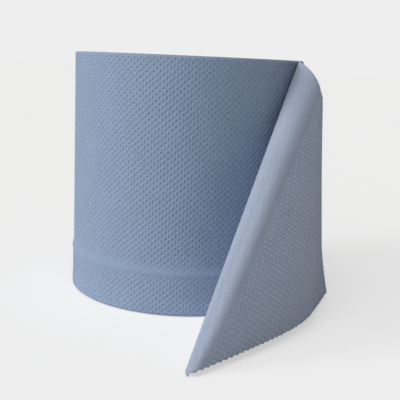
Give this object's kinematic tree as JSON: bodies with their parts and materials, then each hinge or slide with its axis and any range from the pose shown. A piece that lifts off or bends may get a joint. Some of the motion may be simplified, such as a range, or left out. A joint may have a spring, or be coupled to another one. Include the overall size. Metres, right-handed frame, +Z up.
{
  "type": "paper towel roll",
  "caption": "Upright roll of embossed paper towel wound on a board tube, its loose end folded over itself and hanging from the rim to the floor.",
  "frame": {"origin": "centre of the tube's bore, at the base that the roll stands on", "axes": "+Z up along the bore's axis; the side seen in the picture faces -Y; the loose end hangs at the front right, towards +X and -Y"},
  "size_m": [0.2135, 0.2866, 0.19],
  "materials": {
    "towel_paper": "matt, embossed",
    "tube_board": "matt"
  },
  "bodies": {
    "root": {"towel_web": "towel_paper", "core_tube": "tube_board"}
  },
  "joints": []
}
